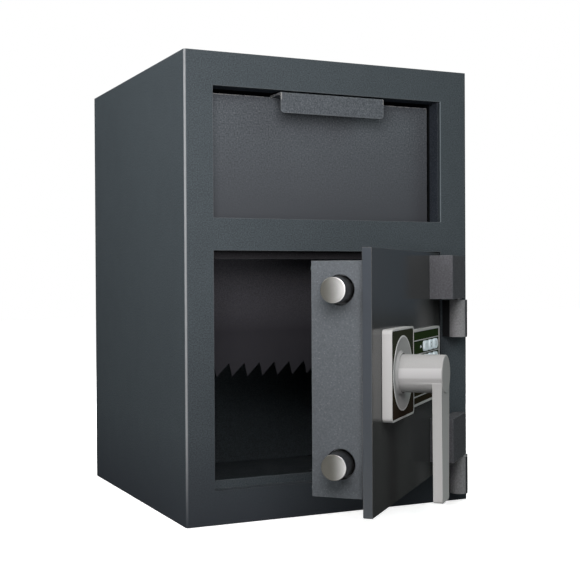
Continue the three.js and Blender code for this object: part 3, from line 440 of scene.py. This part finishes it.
# painted shadow round the bolts' holes
boxLook = dict(hammerLook, holes=[centreOf(name) for name in ("bolt_upper", "bolt_lower")])
boxPaint = paintMaterial("boxPaint", boxLook)
print("stage: paints made")


# Castings and plastics

# A painted highlight band along the hub's side
def hubHighlightBand(tree, look):
    low, lowBlend = look["bandFrom"]
    high, highBlend = look["bandTo"]
    above = facingShare(tree, *past(up, low, lowBlend))
    below = facingShare(tree, *past(down, -high, highBlend))
    reach = reachFromAxis(tree, look["centre"], look["axis"])
    onHub = withinRadius(tree, reach, look["hubRadius"], look["hubBlend"])
    offEnd = facingShare(tree, look["axis"], *look["endSpan"])
    return product(tree, above, below, onHub, offEnd)


def plasticMaterial(name, look):
    material, tree, shader = newMaterial(name)
    grain = useGroup(tree, grainGroup, {"Grain Scale": look["grainScale"], "Speck Amount": 0.0})
    edge = useGroup(tree, edgeGroup, {"Radius": look["edgeRadius"], "Chips": 0.0})
    dust = useGroup(tree, dustGroup, {"Dust Amount": look["dust"]})
    colour = look["colour"]
    # painted light: a colour that fades in toward the bottom
    if look["paintedLowColour"]:
        rise = placeShare(tree, up, look["lowZ"], look["highZ"])
        colour = mixColour(tree, rise, look["paintedLowColour"], colour)
    colour = mixColour(tree, 1.0, colour, spreadTone(tree, grain, look["toneSpread"]), "MULTIPLY")
    # painted highlight band on the hub
    if look["bandHighlightColour"]:
        colour = mixColour(tree, hubHighlightBand(tree, look), colour, look["bandHighlightColour"])
    if look["glow"] > 0.0:
        setShader(tree, shader, {"Emission Color": colour, "Emission Strength": look["glow"]})
    # edges lighter: wear and a painted sheen
    wearAndSheen = product(tree, edge.outputs["Edge"], look["edgeShare"])
    colour = mixColour(tree, wearAndSheen, colour, look["edgeColour"])
    setShader(tree, shader, {
        "Base Color": mixColour(tree, dust.outputs["Dust"], colour, look["dustColour"]),
        "Roughness": spreadRoughness(tree, dust.outputs["Smudge"], 0.0, 1.0, look),
        "Metallic": look["metallic"], "Specular IOR Level": look["specular"],
        "Coat Weight": look["coat"], "Coat Roughness": look["coatRoughness"],
        "Normal": bumpFrom(tree, grain.outputs["Height"], look),
    })
    return material


# The rose: a painted highlight on its rim, and a painted shadow in the seam round the hub
def roseMaterial(name, look):
    material, tree, shader = newMaterial(name)
    grain = useGroup(tree, grainGroup, {"Grain Scale": look["grainScale"], "Speck Amount": 0.0})
    dust = useGroup(tree, dustGroup, {"Dust Amount": look["dust"]})
    reach = reachFromAxis(tree, look["centre"], look["axis"])
    inRim = withinRadius(tree, reach, look["rimFrom"], look["ringBlend"])
    seamShadow = withinRadius(tree, reach, look["seamTo"], look["ringBlend"])
    colour = mixColour(tree, inRim, look["rimHighlightColour"], look["colour"])
    colour = mixColour(tree, seamShadow, colour, look["seamShadowColour"])
    colour = mixColour(tree, 1.0, colour, spreadTone(tree, grain, look["toneSpread"]), "MULTIPLY")
    setShader(tree, shader, {
        "Base Color": mixColour(tree, dust.outputs["Dust"], colour, look["dustColour"]),
        "Roughness": spreadRoughness(tree, dust.outputs["Smudge"], 0.0, 1.0, look),
        "Specular IOR Level": look["specular"], "Coat Weight": look["coat"],
        "Normal": bumpFrom(tree, grain.outputs["Height"], look),
    })
    return material


# The castings' edges are painted much lighter: mostly a painted highlight along them
castLook = {
    "colour": (0.335, 0.338, 0.334), "paintedLowColour": None, "bandHighlightColour": None, "grainScale": 1100.0,
    "toneSpread": 0.035, "edgeRadius": 0.0008, "edgeShare": 0.4, "edgeColour": (0.62, 0.62, 0.615),
    "dust": 0.05, "dustColour": (0.34, 0.33, 0.31), "roughness": 0.4, "roughnessSpread": (0.04, 0.08),
    "metallic": 0.0, "specular": 0.0, "coat": 0.08, "coatRoughness": 0.2, "glow": 0.0,
    "bump": 0.05, "bumpDepth": 0.0002,
}
# The lever is painted lighter low down, with a painted highlight band along the hub
leverLook = dict(
    castLook, paintedLowColour=(0.52, 0.522, 0.515), lowZ=0.02, highZ=0.17, edgeShare=0.65,
    bandHighlightColour=(0.435, 0.438, 0.44), bandFrom=(-0.18, 0.05), bandTo=(0.34, 0.03),
    hubRadius=0.0191, hubBlend=0.0002, endSpan=(0.7, 0.4), centre=handlePoint, axis=outward)
leverFinish = plasticMaterial("leverFinish", leverLook)

roseLook = dict(
    castLook, colour=(0.33, 0.333, 0.33), rimHighlightColour=(0.56, 0.562, 0.56), rimFrom=0.0356,
    seamTo=0.0196, seamShadowColour=(0.07, 0.07, 0.068), ringBlend=0.0003, centre=handlePoint, axis=outward)
roseFinish = roseMaterial("roseFinish", roseLook)

bezelLook = dict(castLook, colour=(0.43, 0.432, 0.428), edgeShare=0.6)
bezelPlastic = plasticMaterial("bezelPlastic", bezelLook)

# painted reflection: the face turns browner toward the bottom
faceLook = dict(
    castLook, colour=(0.029, 0.032, 0.021), paintedLowColour=(0.026, 0.017, 0.012), lowZ=0.125, highZ=0.19,
    edgeColour=(0.06, 0.06, 0.05), roughness=0.5, coat=0.03, toneSpread=0.1)
darkFace = plasticMaterial("darkFace", faceLook)

padLook = dict(faceLook, colour=(0.02, 0.036, 0.012))
padFace = plasticMaterial("padFace", padLook)

# The keys glow faintly, painted light that brightens them like backlit keys
keyLook = dict(
    castLook, colour=(0.66, 0.74, 0.78), edgeColour=(0.8, 0.86, 0.9), roughness=0.24, coat=0.1, glow=0.14)
keyPlastic = plasticMaterial("keyPlastic", keyLook)

lensLook = dict(keyLook, colour=(0.45, 0.49, 0.52), roughness=0.15, glow=0.1)
lensPlastic = plasticMaterial("lensPlastic", lensLook)

inkLook = dict(faceLook, colour=(0.03, 0.035, 0.04))
inkPaint = plasticMaterial("inkPaint", inkLook)
print("stage: castings and plastics made")


# Bare steel

def steelMaterial(name, look):
    material, tree, shader = newMaterial(name)
    turned = turnedVector(tree, look["centre"], look["turn"])
    stretched = addNode(tree, "Mapping", {"Vector": turned, "Scale": look["stretch"]}).outputs["Vector"]
    scratch = noiseValue(tree, stretched, look["scratchScale"], *look["scratchKind"])
    dust = useGroup(tree, dustGroup, {})
    tone = mapRange(tree, scratch, *noiseSpan, *look["scratchTone"])
    colour = mixColour(tree, 1.0, look["colour"], tone, "MULTIPLY")
    stain = product(tree, dust.outputs["Smudge"], look["stainShare"])
    setShader(tree, shader, {
        "Base Color": mixColour(tree, stain, colour, look["stainColour"]),
        "Roughness": spreadRoughness(tree, scratch, *noiseSpan, look),
        "Metallic": look["metallic"], "Normal": bumpFrom(tree, scratch, look),
    })
    return material


zincLook = {
    "colour": (0.4, 0.41, 0.42), "stainColour": (0.27, 0.26, 0.25), "stainShare": 0.22,
    "scratchScale": 260.0, "scratchKind": (6.0, 0.7), "scratchTone": (0.88, 1.1),
    "centre": hingePoint, "turn": doorTurn, "stretch": (1.0, 1.0, 1.0),
    "roughness": 0.42, "roughnessSpread": (0.05, 0.1), "metallic": 0.9, "bump": 0.12, "bumpDepth": 0.0002,
}
zincSteel = steelMaterial("zincSteel", zincLook)

lockLook = dict(zincLook, colour=(0.36, 0.37, 0.38), roughness=0.5, scratchScale=420.0)
lockCasting = steelMaterial("lockCasting", lockLook)

pinLook = dict(zincLook, colour=(0.2, 0.2, 0.21), stainColour=(0.12, 0.11, 0.1), stretch=(1.0, 1.0, 6.0))
pinSteel = steelMaterial("pinSteel", pinLook)


# A bolt is turned steel with rings around its axis; its end has a painted reflection shaded across it
def boltMaterial(name, look, centre):
    material, tree, shader = newMaterial(name)
    turned = turnedVector(tree, centre, look["turn"])
    along, across, rise = addNode(tree, "SeparateXYZ", {0: turned}).outputs
    reach = mathNode(tree, "ADD", product(tree, across, across), product(tree, rise, rise))
    reach = mathNode(tree, "SQRT", reach)
    rings = addNode(tree, "CombineXYZ", {0: reach, 1: along}).outputs[0]
    rings = noiseValue(tree, rings, *look["rings"])
    slope = mathNode(tree, "ADD", product(tree, across, -look["slopeAcross"]),
                     product(tree, rise, look["slopeUp"]))
    shade = mapRange(tree, slope, look["slopeLow"], look["slopeHigh"])
    endColour = mixColour(tree, product(tree, shade, shade), look["shadeColour"], look["colour"])
    # painted shadow at the root where the bolt leaves the box, and painted shade on its side
    rootShadow = mapRange(tree, along, look["rootFrom"] - look["rootBlend"], look["rootFrom"] + look["rootBlend"])
    barrelColour = mixColour(tree, rootShadow, look["sideShadeColour"], look["rootShadowColour"])
    colour = mixColour(tree, facingShare(tree, toFree, *look["endSpan"]), barrelColour, endColour)
    tone = mapRange(tree, rings, *noiseSpan, *look["ringTone"])
    setShader(tree, shader, {
        "Base Color": mixColour(tree, 1.0, colour, tone, "MULTIPLY"),
        "Roughness": spreadRoughness(tree, rings, *noiseSpan, look),
        "Metallic": look["metallic"], "Normal": bumpFrom(tree, rings, look),
    })
    return material


boltLook = {
    "colour": (0.54, 0.54, 0.535), "shadeColour": (0.092, 0.09, 0.08), "sideShadeColour": (0.17, 0.172, 0.175),
    "slopeAcross": 1.0, "slopeUp": 0.06, "slopeLow": -0.0103, "slopeHigh": 0.0111, "endSpan": (0.3, 0.7),
    "rootShadowColour": (0.008, 0.008, 0.008), "rootFrom": -0.0105, "rootBlend": 0.0004, "turn": doorTurn,
    "rings": (900.0, 5.0, 0.7), "ringTone": (0.93, 1.06), "roughness": 0.32, "roughnessSpread": (0.06, 0.08),
    "metallic": 1.0, "bump": 0.12, "bumpDepth": 0.0002,
}
boltLooks = {
    "bolt_upper": boltLook,
    # painted shade: the lower bolt is painted darker
    "bolt_lower": dict(
        boltLook, colour=(0.36, 0.36, 0.355), shadeColour=(0.069, 0.067, 0.059), slopeLow=-0.0048),
}
print("stage: steels made")


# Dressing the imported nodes: edges softened and finishes assigned

edgeSettings = {"weldWithin": 0.000002, "sharperThan": 38.0, "normalWeight": 80}
edges = {  # width and segments of each softened edge
    "sheet": (0.0006, 2), "plate": (0.0005, 2), "block": (0.001, 3),
    "small": (0.00025, 2), "moulded": (0.00025, 3), "key": (0.0007, 3),
}


def softenEdges(piece, width, segments):
    weld = piece.modifiers.new("weld", "WELD")
    weld.merge_threshold = edgeSettings["weldWithin"]
    bevel = piece.modifiers.new("bevel", "BEVEL")
    bevel.width = width
    bevel.segments = segments
    bevel.limit_method = "ANGLE"
    bevel.angle_limit = math.radians(edgeSettings["sharperThan"])
    bevel.miter_outer = "MITER_ARC"
    even = piece.modifiers.new("even", "WEIGHTED_NORMAL")
    even.weight = edgeSettings["normalWeight"]
    even.keep_sharp = True


def dressNode(name, material, edge):
    piece = nodes[name]
    mesh = piece.data
    mesh.materials.clear()
    mesh.materials.append(material)
    if "custom_normal" in mesh.attributes:
        mesh.attributes.remove(mesh.attributes["custom_normal"])
    mesh.polygons.foreach_set("use_smooth", [True] * len(mesh.polygons))
    mesh.polygons.foreach_set("material_index", [0] * len(mesh.polygons))
    softenEdges(piece, *edges[edge])


keyNames = [name for name in nodes if name.startswith("key_")]
dressing = (
    (wrapPaint, "sheet", ("body_wrap",)),
    (bodyPaint, "sheet", ("top_plate", "bottom_plate", "back_plate", "door_stop_bottom", "bolt_jamb")),
    (stopPaint, "sheet", ("door_stop_top",)),
    (guardPaint, "sheet", ("hopper_guard_left", "hopper_guard_right", "hopper_hood")),
    (innerPaint, "small", ("chute_baffle",)),
    (panelPaint, "plate", ("hopper_panel", "pull_handle")),
    (hammerPaint, "plate", ("bucket_cheek_left", "bucket_cheek_right", "bucket_back", "bolt_box_cover",
                            "cover_screw_1", "cover_screw_2", "cover_screw_3", "cover_screw_4")),
    (footPaint, "plate", ("hinge_foot_upper", "hinge_foot_lower")),
    (blockPaint, "plate", ("hinge_block_upper", "hinge_block_lower")),
    (doorPaint, "sheet", ("door_plate",)),
    (boxPaint, "plate", ("bolt_box",)),
    (zincSteel, "small", ("hopper_pivot_rod", "hopper_pivot_clip", "bolt_guide_upper", "bolt_guide_lower",
                          "bolt_carriage", "handle_spindle", "bolt_cam", "spindle_clip")),
    (pinSteel, "small", ("hinge_pin_upper", "hinge_pin_lower", "lock_latch")),
    (lockCasting, "plate", ("lock_case",)),
    (leverFinish, "block", ("handle_lever",)),
    (roseFinish, "small", ("handle_rose",)),
    (bezelPlastic, "moulded", ("escutcheon",)),
    (bezelPlastic, "small", ("keypad_frame",)),
    (darkFace, "small", ("escutcheon_inlay",)),
    (padFace, "small", ("keypad_panel",)),
    (lensPlastic, "small", ("keypad_led",)),
    (keyPlastic, "key", keyNames),
)
for finish, edge, names in dressing:
    for name in names:
        dressNode(name, finish, edge)
for name, look in boltLooks.items():
    dressNode(name, boltMaterial(name + "_steel", look, centreOf(name)), "small")
print("stage: nodes dressed")


# Plain numbers on the keys

keyInk = {"size": 0.0075, "depth": 0.00012, "sunk": 0.00005, "signs": {"star": "*", "hash": "#"}}


def keyNumber(name):
    label = name[len("key_"):]
    centre = centreOf(name)
    reach = max((Vector(v.co) - centre).dot(outward) for v in nodes[name].data.vertices)
    spot = centre + outward * (reach + keyInk["depth"] / 2.0 - keyInk["sunk"])
    curve = bpy.data.curves.new("ink_" + label, "FONT")
    curve.body = keyInk["signs"].get(label, label)
    curve.size = keyInk["size"]
    curve.extrude = keyInk["depth"] / 2.0
    curve.align_x = "CENTER"
    curve.align_y = "CENTER"
    curve.materials.append(inkPaint)
    piece = bpy.data.objects.new("ink_" + label, curve)
    bpy.context.scene.collection.objects.link(piece)
    piece.matrix_world = Matrix((
        (toHinge.x, up[0], outward.x, spot.x),
        (toHinge.y, up[1], outward.y, spot.y),
        (toHinge.z, up[2], outward.z, spot.z),
        (0.0, 0.0, 0.0, 1.0)))
    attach(piece, "button_" + label)


for name in keyNames:
    keyNumber(name)
print("stage: key numbers")


# Room: floor and background, pale to the camera, with a dark side that only glossy rays find

darkSide = (0.91, 0.41, 0.0)
white = (1.0, 1.0, 1.0)


def backdropSeen(tree):
    rays = addNode(tree, "LightPath", {})
    seen = mathNode(tree, "ADD", rays.outputs["Is Camera Ray"], rays.outputs["Is Glossy Ray"])
    return mathNode(tree, "ADD", seen, rays.outputs["Is Transmission Ray"], clamp=True)


def glossyShare(tree, share):
    return product(tree, addNode(tree, "LightPath", {}).outputs["Is Glossy Ray"], share)


floorLook = {
    "size": 12.0, "height": -0.0005, "colour": (0.12, 0.12, 0.12), "seenColour": (0.92, 0.92, 0.92),
    "noise": (3.0, 3.0, 0.55), "tone": (0.985, 1.0), "roughness": 0.85, "specular": 0.1,
    "fadeFrom": 0.55, "fadeTo": 1.3, "glowNear": 0.74, "glowFar": 1.0,
    "darkFrom": -0.35, "darkTo": -0.2, "darkTone": 0.15,
}


def makeFloor():
    reach = floorLook["size"] / 2.0
    corners = [(x, y, floorLook["height"]) for x, y in ((-reach, -reach), (reach, -reach),
                                                        (reach, reach), (-reach, reach))]
    mesh = bpy.data.meshes.new("floor")
    mesh.from_pydata(corners, [], [(0, 1, 2, 3)])
    piece = bpy.data.objects.new("floor", mesh)
    bpy.context.scene.collection.objects.link(piece)
    material, tree, shader = newMaterial("floorPaint")
    place = objectVector(tree)
    dark = glossyShare(tree, placeShare(tree, darkSide, floorLook["darkFrom"], floorLook["darkTo"]))
    tone = mapRange(tree, noiseValue(tree, place, *floorLook["noise"]), *noiseSpan, *floorLook["tone"])
    tone = product(tree, tone, mapRange(tree, dark, 0.0, 1.0, 1.0, floorLook["darkTone"]))
    seen = product(tree, backdropSeen(tree), mapRange(tree, dark, 0.0, 1.0, 1.0, 0.0))
    colour = mixColour(tree, seen, floorLook["colour"], floorLook["seenColour"])
    distance = vectorMath(tree, "LENGTH", place).outputs["Value"]
    glow = mapRange(tree, distance, floorLook["fadeFrom"], floorLook["fadeTo"],
                    floorLook["glowNear"], floorLook["glowFar"])
    setShader(tree, shader, {
        "Base Color": mixColour(tree, 1.0, colour, tone, "MULTIPLY"),
        "Roughness": floorLook["roughness"], "Specular IOR Level": floorLook["specular"],
        "Emission Color": white, "Emission Strength": product(tree, seen, glow),
    })
    mesh.materials.append(material)


skyLook = {
    "toward": (-0.62, -0.66, 0.42), "span": (-0.7, 0.9), "strength": (0.04, 0.12),
    "darkFrom": -0.3, "darkTo": 0.1, "darkStrength": 0.155, "darkColour": (0.56, 0.74, 1.0),
}


def makeWorld():
    world = bpy.data.worlds.new("studio")
    bpy.context.scene.world = world
    world.use_nodes = True
    tree = world.node_tree
    view = addNode(tree, "TexCoord", {}).outputs["Generated"]
    sky = alongDirection(tree, view, skyLook["toward"])
    sky = mapRange(tree, sky, *skyLook["span"], *skyLook["strength"])
    aside = mapRange(tree, alongDirection(tree, view, darkSide), skyLook["darkFrom"], skyLook["darkTo"])
    dark = glossyShare(tree, aside)
    seen = mapRange(tree, dark, 0.0, 1.0, 1.0, skyLook["darkStrength"])
    background = tree.nodes["Background"]
    feed(tree, background.inputs["Color"], mixColour(tree, dark, white, skyLook["darkColour"]))
    feed(tree, background.inputs["Strength"], mapRange(tree, backdropSeen(tree), 0.0, 1.0, sky, seen))


makeFloor()
makeWorld()
print("stage: floor and background")


# Lights and camera

lights = {
    "keyLight": {"place": (-0.3, -0.72, 0.5), "target": (-0.05, -0.15, 0.36), "size": 0.42, "power": 4.35,
                 "colour": (1.0, 0.962, 0.965), "glossy": True},
    "sideLight": {"place": (-0.88, -0.1, 0.82), "target": (-0.18, 0.0, 0.36), "size": 0.5, "power": 6.9,
                  "colour": white, "glossy": True},
    "frontFill": {"place": (-0.4, -1.3, 0.06), "target": (0.0, 0.0, 0.25), "size": 0.3, "power": 1.9,
                  "colour": white, "glossy": True},
    "rightLight": {"place": (0.7, -0.9, 0.95), "target": (0.05, -0.3, 0.2), "size": 0.6, "power": 3.7,
                   "colour": (0.88, 1.0, 0.97), "glossy": True},
    "backLight": {"place": (0.3, 1.5, 1.2), "target": (0.0, 0.1, 0.25), "size": 0.9, "power": 17.0,
                  "colour": white, "glossy": False},
    "farLight": {"place": (1.0, 0.55, 0.6), "target": (0.1, 0.05, 0.25), "size": 0.5, "power": 8.4,
                 "colour": white, "glossy": False},
    "topLight": {"place": (0.1, 0.35, 1.4), "target": (0.0, 0.05, 0.5), "size": 0.6, "power": 4.0,
                 "colour": white, "glossy": False},
}


def makeLight(name, look):
    data = bpy.data.lights.new(name, "AREA")
    data.shape = "DISK"
    data.size = look["size"]
    data.energy = look["power"]
    data.color = look["colour"]
    light = bpy.data.objects.new(name, data)
    bpy.context.scene.collection.objects.link(light)
    aim = Vector(look["target"]) - Vector(look["place"])
    light.location = look["place"]
    light.rotation_euler = aim.to_track_quat("-Z", "Y").to_euler()
    light.visible_camera = False
    light.visible_glossy = look["glossy"]


cameraLook = {
    "lens": 68.41, "sensor": 36.0, "place": (-0.5733, -1.2794, 0.2634),
    "yaw": 25.185, "pitch": -0.549, "roll": -0.293,
}


def makeCamera():
    data = bpy.data.cameras.new("photoCamera")
    data.lens = cameraLook["lens"]
    data.sensor_width = cameraLook["sensor"]
    camera = bpy.data.objects.new("photoCamera", data)
    bpy.context.scene.collection.objects.link(camera)
    yaw = math.radians(cameraLook["yaw"])
    pitch = math.radians(cameraLook["pitch"])
    roll = math.radians(cameraLook["roll"])
    level = Vector((math.sin(yaw), math.cos(yaw), 0.0))
    aside = Vector((math.cos(yaw), -math.sin(yaw), 0.0))
    ahead = level * math.cos(pitch) + Vector(up) * math.sin(pitch)
    over = Vector(up) * math.cos(pitch) - level * math.sin(pitch)
    side = aside * math.cos(roll) + over * math.sin(roll)
    over = over * math.cos(roll) - aside * math.sin(roll)
    place = Vector(cameraLook["place"])
    camera.matrix_world = Matrix((
        (side.x, over.x, -ahead.x, place.x),
        (side.y, over.y, -ahead.y, place.y),
        (side.z, over.z, -ahead.z, place.z),
        (0.0, 0.0, 0.0, 1.0)))
    bpy.context.scene.camera = camera


for name, look in lights.items():
    makeLight(name, look)
makeCamera()
bpy.context.scene.view_settings.view_transform = "Standard"
print("stage: lights and camera")
